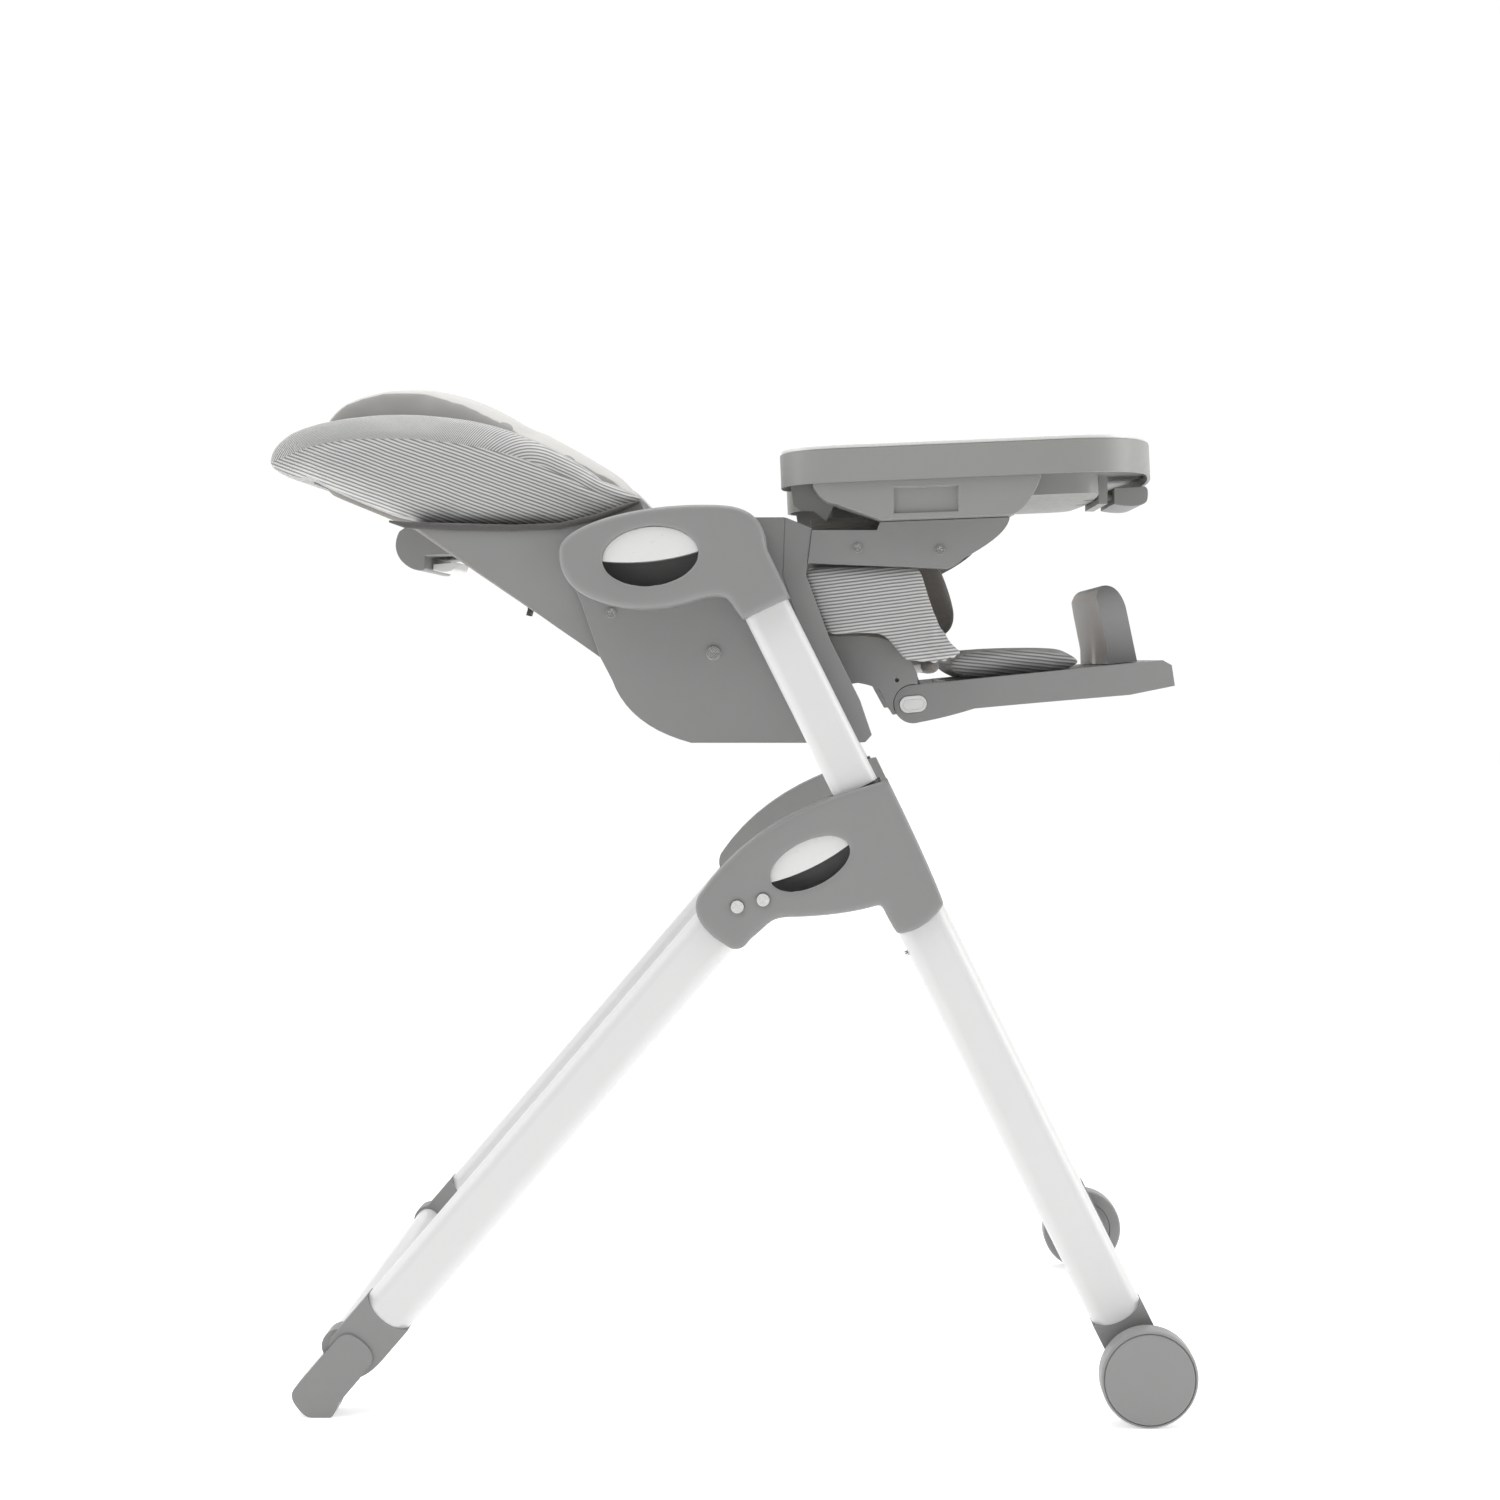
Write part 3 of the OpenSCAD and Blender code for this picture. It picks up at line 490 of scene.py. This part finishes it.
def face_rounding(name, face, depth, passes):
    """Node group that rounds off whatever lies within depth of a moulding's outer face."""
    group = bpy.data.node_groups.new(name, "GeometryNodeTree")
    group.interface.new_socket("Geometry", in_out="INPUT", socket_type="NodeSocketGeometry")
    group.interface.new_socket("Geometry", in_out="OUTPUT", socket_type="NodeSocketGeometry")

    def add(kind, **settings):
        node = group.nodes.new(kind)
        for setting, value in settings.items():
            setattr(node, setting, value)
        return node

    start, end = add("NodeGroupInput"), add("NodeGroupOutput")
    move, shade_smooth = add("GeometryNodeSetPosition"), add("GeometryNodeSetShadeSmooth")
    place = add("GeometryNodeInputPosition").outputs[0]
    blur = add("GeometryNodeBlurAttribute", data_type="FLOAT_VECTOR")
    blurred_in = next(socket for socket in blur.inputs if socket.enabled)
    blurred_out = next(socket for socket in blur.outputs if socket.enabled)
    blur.inputs["Iterations"].default_value = passes
    parts = add("ShaderNodeSeparateXYZ")
    distance = add("ShaderNodeMath", operation="ABSOLUTE")
    share = add("ShaderNodeMapRange", interpolation_type="SMOOTHSTEP")
    share.inputs["From Min"].default_value = face - depth
    share.inputs["From Max"].default_value = face - depth / 2
    mix = add("ShaderNodeMix", data_type="VECTOR")
    mix_share, mix_first, mix_second = [socket for socket in mix.inputs if socket.enabled]
    mixed = next(socket for socket in mix.outputs if socket.enabled)
    links = (
        (place, blurred_in),
        (place, parts.inputs[0]),
        (parts.outputs["Y"], distance.inputs[0]),
        (distance.outputs[0], share.inputs["Value"]),
        (share.outputs["Result"], mix_share),
        (place, mix_first),
        (blurred_out, mix_second),
        (mixed, move.inputs["Position"]),
        (start.outputs[0], move.inputs["Geometry"]),
        (move.outputs[0], shade_smooth.inputs["Geometry"]),
        (shade_smooth.outputs[0], end.inputs[0]),
    )
    for source, target in links:
        group.links.new(source, target)
    return group


def round_face(node, face, depth, passes):
    """Rounds the edges of a moulding's outer face, at distance face from the centre plane."""
    piece = nodes[node]
    weld(piece)
    remesh(piece, 0.0013)
    smooth(piece, 3)
    rounding = piece.modifiers.new("rounding", "NODES")
    rounding.node_group = face_rounding(f"{node}_rounding", face, depth, passes)


for node, piece in nodes.items():
    if slots[node] in finishes:
        give(piece, finishes[slots[node]])


# ---- Soft goods ----
def evaluated(piece):
    """Turns a piece's modifiers into its mesh."""
    graph = bpy.context.evaluated_depsgraph_get()
    mesh = bpy.data.meshes.new_from_object(piece.evaluated_get(graph))
    piece.modifiers.clear()
    piece.data = mesh


def points_of(piece):
    points = np.empty(len(piece.data.vertices) * 3)
    piece.data.vertices.foreach_get("co", points)
    return points.reshape(-1, 3)


def normals_of(piece):
    normals = np.empty(len(piece.data.vertices) * 3)
    piece.data.vertices.foreach_get("normal", normals)
    return normals.reshape(-1, 3)


def set_points(piece, points):
    piece.data.vertices.foreach_set("co", points.ravel())
    piece.data.update()


def fit(piece, node, inset=0.0):
    """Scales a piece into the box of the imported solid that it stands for."""
    low, high = (np.array(corner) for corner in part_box(node))
    points = points_of(piece)
    share = (points - points.min(0)) / np.ptp(points, axis=0)
    set_points(piece, low + inset + share * (high - low - 2 * inset))


CLOTH_STEPS = 20


def inflate(piece, cap):
    """Blows the piece up as cloth, with no point moving further than cap."""
    start = points_of(piece)
    cloth = piece.modifiers.new("cloth", "CLOTH")
    cloth.settings.quality = 4
    cloth.settings.mass = 0.25
    cloth.settings.tension_stiffness = 12
    cloth.settings.compression_stiffness = 12
    cloth.settings.bending_stiffness = 0.6
    cloth.settings.use_pressure = True
    cloth.settings.uniform_pressure_force = 4
    cloth.settings.effector_weights.gravity = 0
    cloth.collision_settings.use_collision = False
    for step in range(1, CLOTH_STEPS + 1):
        scene.frame_set(step)
    evaluated(piece)
    scene.frame_set(1)
    moved = points_of(piece) - start
    length = np.linalg.norm(moved, axis=1, keepdims=True)
    set_points(piece, start + moved * np.minimum(1, cap / np.maximum(length, 1e-9)))


def cushion(name, node, body, shader, voxel=0.005, rounding=12, cap=0.008):
    """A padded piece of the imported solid's outline: rounded, blown up and cut finer."""
    source = bmesh.new()
    source.from_mesh(nodes[node].data)
    bmesh.ops.remove_doubles(source, verts=source.verts, dist=SAME_POINT)
    mesh = bpy.data.meshes.new(name)
    source.to_mesh(mesh)
    source.free()
    piece = bpy.data.objects.new(name, mesh)
    scene.collection.objects.link(piece)
    remesh(piece, voxel)
    smooth(piece, rounding)
    evaluated(piece)
    fit(piece, node, cap * 0.4)
    inflate(piece, cap)
    smooth(piece, 6)
    piece.modifiers.new("finer", "SUBSURF").levels = 1
    evaluated(piece)
    fit(piece, node)
    piece.data.polygons.foreach_set("use_smooth", [True] * len(piece.data.polygons))
    give(piece, shader)
    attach(piece, body)
    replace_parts(piece, node)
    return piece


def groove(piece, distance, depth, width, where=True):
    """Pulls the surface in along a seam: distance is each point's distance from it."""
    pull = depth * np.exp(-((distance / width) ** 2)) * where
    set_points(piece, points_of(piece) - normals_of(piece) * pull[:, None])


def wrinkle(piece, centre, reach, depth, direction, pitch):
    """Small gathers round centre, with their ridges along direction."""
    points = points_of(piece)
    offset = points - np.array(centre)
    fade = np.exp(-((np.linalg.norm(offset, axis=1) / reach) ** 2))
    phase = offset @ np.array(direction) * 2 * math.pi / pitch
    waves = np.sin(phase + 2.2 * np.sin(points[:, 2] * 160)) * fade * depth
    set_points(piece, points + normals_of(piece) * waves[:, None])


bolster = cushion("bolster", "back_bolster", "backrest", bolster_cloth(), rounding=16)
points = points_of(bolster)
outward = normals_of(bolster)[:, 1] * np.sign(points[:, 1])
groove(bolster, points[:, 2] - seam_height(points[:, 0]), 0.0022, 0.004, outward > 0.15)

cushion("back_rest_pad", "back_pad", "backrest", finishes["pad_fabric"], rounding=8)
liner = cushion("liner_cushion", "support_cushion", "backrest", liner_cloth(), rounding=14,
                cap=0.01)
points = points_of(liner)
groove(liner, np.abs(points[:, 1]) - 0.09, 0.003, 0.005, normals_of(liner)[:, 2] > 0.2)
groove(liner, points[:, 1], 0.002, 0.004, normals_of(liner)[:, 2] > 0.2)

seat_cloth = striped_cloth("seat_cloth", SEAT_STRIPES)
seat_cushion = cushion("seat_cushion", "seat_pad", "seat", liner_cloth(), rounding=8)
points = points_of(seat_cushion)
on_top = normals_of(seat_cushion)[:, 2] > 0.4
for channel in (-0.02, 0.03, 0.08, 0.13):
    groove(seat_cushion, points[:, 0] - channel, 0.0025, 0.0045, on_top)

# The wings' rear edges are tucked in beside the trims
WING_TUCK = 0.006
wing_finish = wing_cloth()
for side in ("left", "right"):
    wing = cushion(f"wing_{side}", f"side_wing_{side}", "seat", wing_finish, voxel=0.0035,
                   rounding=8, cap=0.003)
    points = points_of(wing)
    rear = np.interp(points[:, 2], (0.723, 0.785, 0.836), (0.104, 0.084, 0.088))
    points[:, 0] -= WING_TUCK * np.clip((rear - points[:, 0]) / 0.012 + 1, 0, 1)
    set_points(wing, points)
    across = 0.19 if side == "left" else -0.19
    wrinkle(wing, (0.205, across, 0.712), 0.022, 0.0016, (0.8, 0, 0.6), 0.009)

cushion("crotch_cover", "crotch_post", "seat", finishes["pad_fabric"], voxel=0.003,
        rounding=8, cap=0.003)
cushion("calf_cushion", "calf_pad", "calf_rest", striped_cloth("calf_cloth", 6),
        rounding=14, cap=0.007)


# ---- Webbing, bindings and rolls ----
def sweep(name, rings):
    """A closed piece through rings of points, each a list of the same length."""
    mesh = bpy.data.meshes.new(name)
    size = len(rings[0])
    faces = []
    for row in range(len(rings) - 1):
        here, there = row * size, (row + 1) * size
        for k in range(size):
            following = (k + 1) % size
            faces.append((here + k, here + following, there + following, there + k))
    last = (len(rings) - 1) * size
    faces.append(tuple(reversed(range(size))))
    faces.append(tuple(last + k for k in range(size)))
    mesh.from_pydata([tuple(point) for row in rings for point in row], [], faces)
    mesh.polygons.foreach_set("use_smooth", [True] * len(mesh.polygons))
    piece = bpy.data.objects.new(name, mesh)
    scene.collection.objects.link(piece)
    return piece


def ring(count, point):
    """count points round a ring. point gives each from the cosine and sine of its angle."""
    angles = [turn * math.tau / count for turn in range(count)]
    return [Vector(point(math.cos(angle), math.sin(angle))) for angle in angles]


WEBBING_WIDTH = 0.025
WEBBING_THICKNESS = 0.0024


def strap_section(width, thickness):
    """Webbing's cross-section: flat, with thin selvedges."""
    half, edge = width / 2, thickness / 2
    corners = [(half - edge, -edge), (half, 0), (half - edge, edge)]
    return corners + [(-across, -up) for across, up in corners]


def strap(name, line, across, body, width=WEBBING_WIDTH, thickness=WEBBING_THICKNESS):
    """Flat webbing along a line of points, with its width along across."""
    line = [Vector(point) for point in line]
    across = Vector(across)
    rings = []
    for k, point in enumerate(line):
        ahead = line[min(k + 1, len(line) - 1)] - line[max(k - 1, 0)]
        up = ahead.cross(across).normalized()
        rings.append([point + across * a + up * b for a, b in strap_section(width, thickness)])
    piece = sweep(name, rings)
    give(piece, finishes["webbing"])
    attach(piece, body)
    return piece


LINE_STEPS = 12


def wavy_line(start, end):
    """Points from start to end, lying in slight waves."""
    start, end = Vector(start), Vector(end)
    lift = Vector((0, 0, 0.0006))
    line = []
    for k in range(LINE_STEPS + 1):
        line.append(start.lerp(end, k / LINE_STEPS) + lift * math.sin(k * 2.1))
    return line


SIDES = (("left", 1), ("right", -1))
LAP_X = 0.0345
LAP_TOP = 0.7068
straps = []
for side, sign in SIDES:
    line = wavy_line((LAP_X, 0.022 * sign, LAP_TOP), (LAP_X, 0.134 * sign, LAP_TOP + 0.001))
    straps.append(strap(f"lap_strap_{side}", line, (1, 0, 0), "seat"))
crotch_line = wavy_line((0.056, 0, 0.7172), (0.178, 0, 0.7182))
straps.append(strap("crotch_strap", crotch_line, (0, 1, 0), "seat"))
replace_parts(straps[0], "lap_harness")

# Slope of the back at rest, and the liner's upper face at the middle
BACK_SLOPE = math.radians(35.2)
UP_BACK = Vector((-math.cos(BACK_SLOPE), 0, math.sin(BACK_SLOPE)))
OUT_OF_BACK = Vector((math.sin(BACK_SLOPE), 0, math.cos(BACK_SLOPE)))
BACK_PIVOT = Vector((-0.009, 0, 0.7061))
STRAP_LOW, STRAP_HIGH = 0.126, 0.29
STRAP_OUT_LOW, STRAP_OUT_HIGH = -0.0134, -0.0115
STRAP_ACROSS = 0.0465
STRAP_STEPS = 16


def on_back(up, out, across=0.0):
    return BACK_PIVOT + UP_BACK * up + OUT_OF_BACK * out + Vector((0, across, 0))


for side, sign in SIDES:
    line = []
    for k in range(STRAP_STEPS + 1):
        up = STRAP_LOW + (STRAP_HIGH - STRAP_LOW) * k / STRAP_STEPS
        out = STRAP_OUT_LOW + (STRAP_OUT_HIGH - STRAP_OUT_LOW) * k / STRAP_STEPS
        line.append(on_back(up, out + 0.0008 * math.sin(k * 1.7), STRAP_ACROSS * sign))
    straps.append(strap(f"shoulder_strap_{side}", line, (0, 1, 0), "backrest"))
tab_line = [on_back(0.213, -0.0668), on_back(0.2, -0.0675), on_back(0.194, -0.072),
            on_back(0.189, -0.078), on_back(0.187, -0.084)]
straps.append(strap("anchor_tab", tab_line, (0, 1, 0), "backrest", 0.028, 0.0035))
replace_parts(straps[-1], "shoulder_straps")

# Dark binding along the bolster's lower edge, where the cover is hooked to the shell
HEM = [(-0.316, 0.8325), (-0.3, 0.829), (-0.25, 0.8265), (-0.2, 0.8262), (-0.155, 0.828),
       (-0.12, 0.8365), (-0.095, 0.8455), (-0.08, 0.851)]
HEM_DEPTH = 0.0065
binding = plain_cloth("binding_cloth", (0.11, 0.105, 0.1), 0.0002)
for side, sign in SIDES:
    rings = []
    for k, (x, z) in enumerate(HEM):
        taper = 0.35 if k in (0, len(HEM) - 1) else 1.0
        half = HEM_DEPTH / 2 * taper
        rings.append(ring(12, lambda c, s: (x, sign * (0.2042 + 0.0022 * c), z - 0.002 + half * s)))
    hem = sweep(f"bolster_binding_{side}", rings)
    give(hem, binding)
    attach(hem, "backrest")

# The seat cover runs on into the calf pad, across the calf rest's hinge
FLAP_HALF = 0.132
flap_rings = []
for k in range(9):
    share = k / 8
    x = 0.2 + 0.028 * share
    z = 0.7055 - 0.004 * share - 0.004 * math.sin(share * math.pi)
    half = 0.0045 - 0.0015 * math.sin(share * math.pi)
    flap_rings.append(ring(
        48, lambda c, s: (x, FLAP_HALF * math.copysign(abs(c) ** 0.25, c), z + half * s)))
flap = sweep("calf_flap", flap_rings)
give(flap, seat_cloth)
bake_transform(flap)

# Roll of lining at the seat's front edge, between the wings and the calf rest
ROLL_HALF = 0.176
roll_rings = []
for k in range(25):
    across = -ROLL_HALF + 2 * ROLL_HALF * k / 24
    swell = (1 - (across / ROLL_HALF) ** 8 * 0.5) * (1 + 0.03 * math.sin(k * 2.3))
    roll_rings.append(ring(
        16, lambda c, s: (0.1985 + 0.0095 * swell * c, across, 0.694 + 0.008 * swell * s)))
roll = sweep("seat_front_roll", roll_rings)
give(roll, finishes["pad_fabric"])
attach(roll, "seat")

# ---- Rigid parts' edges ----
EDGE, SMALL_EDGE = 0.0008, 0.0003
# Outer faces' distance from the centre plane, how deep their rounding reaches, and how soft it is
FACES = {
    "hinge_housing_outer": (0.2615, 0.014, 20),
    "top_housing_outer": (0.2655, 0.016, 28),
}
SMALL = ("seat_screws", "leg_rivets", "wheel_axles", "back_pivot_pins")
replaced = {node for piece in bpy.data.objects for node in piece.get("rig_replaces", [])}
for node in nodes:
    if node in replaced:
        continue
    stem = node.removesuffix("_left").removesuffix("_right")
    if stem in FACES:
        round_face(node, *FACES[stem])
    else:
        soften(node, SMALL_EDGE if node in SMALL else EDGE)

# ---- Floor ----
# Half of the floor's width
FLOOR = 12
floor_mesh = bpy.data.meshes.new("floor")
floor_mesh.from_pydata(
    [(-FLOOR, -FLOOR, 0), (FLOOR, -FLOOR, 0), (FLOOR, FLOOR, 0), (-FLOOR, FLOOR, 0)], [],
    [(0, 1, 2, 3)])
floor = bpy.data.objects.new("floor", floor_mesh)
scene.collection.objects.link(floor)
give(floor, Shader("floor_paint", (0.9, 0.9, 0.9), 0.8, Emission_Color=(1, 1, 1, 1),
                   Emission_Strength=0.4))
